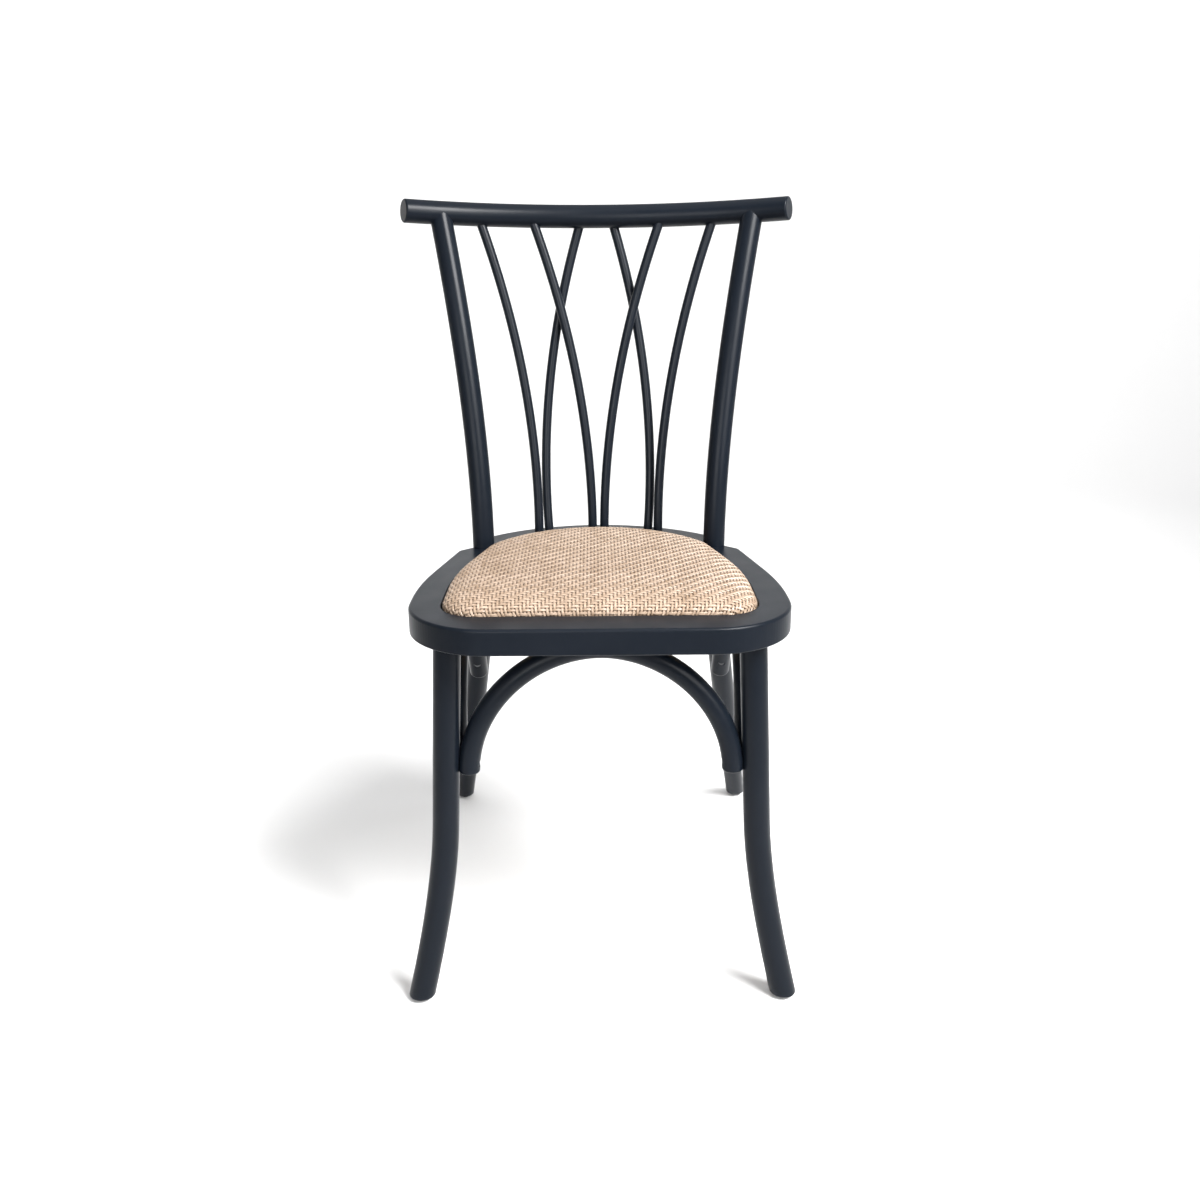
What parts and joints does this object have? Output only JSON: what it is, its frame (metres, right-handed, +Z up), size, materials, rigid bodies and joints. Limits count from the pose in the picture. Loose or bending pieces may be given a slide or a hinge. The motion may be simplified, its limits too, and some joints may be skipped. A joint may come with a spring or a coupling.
{
  "type": "wooden dining chair",
  "caption": "Bentwood dining chair with a bowed crest rail, crossing bent spindles, a woven rattan seat pad in a bent seat ring, and arched braces under it.",
  "frame": {"origin": "on the floor, under the centre of the bounding box", "axes": "+Z up; the chair faces -Y; +X is to the right as seen from the front"},
  "size_m": [0.4698, 0.5614, 0.8738],
  "materials": {
    "lacquered_wood": "black satin lacquer over bent beech",
    "rattan": "woven natural rattan cane, clear coated",
    "foam": "upholstery foam",
    "plywood": "sanded birch plywood",
    "zinc_steel": "zinc plated",
    "glide_plastic": "black moulded plastic"
  },
  "bodies": {
    "root": {"bolt_left": "zinc_steel", "bolt_right": "zinc_steel", "crest_rail": "lacquered_wood", "front_brace": "lacquered_wood", "front_leg_left": "lacquered_wood", "front_leg_right": "lacquered_wood", "glide_front_left": "glide_plastic", "glide_front_right": "glide_plastic", "glide_rear_left": "glide_plastic", "glide_rear_right": "glide_plastic", "nut_left": "zinc_steel", "nut_right": "zinc_steel", "rattan_cover": "rattan", "rear_leg_left": "lacquered_wood", "rear_leg_right": "lacquered_wood", "screw_board_front_left": "zinc_steel", "screw_board_front_right": "zinc_steel", "screw_board_rear_left": "zinc_steel", "screw_board_rear_right": "zinc_steel", "screw_front_brace_left": "zinc_steel", "screw_front_brace_right": "zinc_steel", "screw_front_brace_top": "zinc_steel", "screw_side_brace_front_left": "zinc_steel", "screw_side_brace_front_right": "zinc_steel", "screw_side_brace_rear_left": "zinc_steel", "screw_side_brace_rear_right": "zinc_steel", "screw_side_brace_top_left": "zinc_steel", "screw_side_brace_top_right": "zinc_steel", "seat_board": "plywood", "seat_foam": "foam", "seat_ring": "lacquered_wood", "side_brace_left": "lacquered_wood", "side_brace_right": "lacquered_wood", "spindle_cross_left": "lacquered_wood", "spindle_cross_right": "lacquered_wood", "spindle_inner_left": "lacquered_wood", "spindle_inner_right": "lacquered_wood", "spindle_outer_left": "lacquered_wood", "spindle_outer_right": "lacquered_wood"}
  },
  "joints": []
}
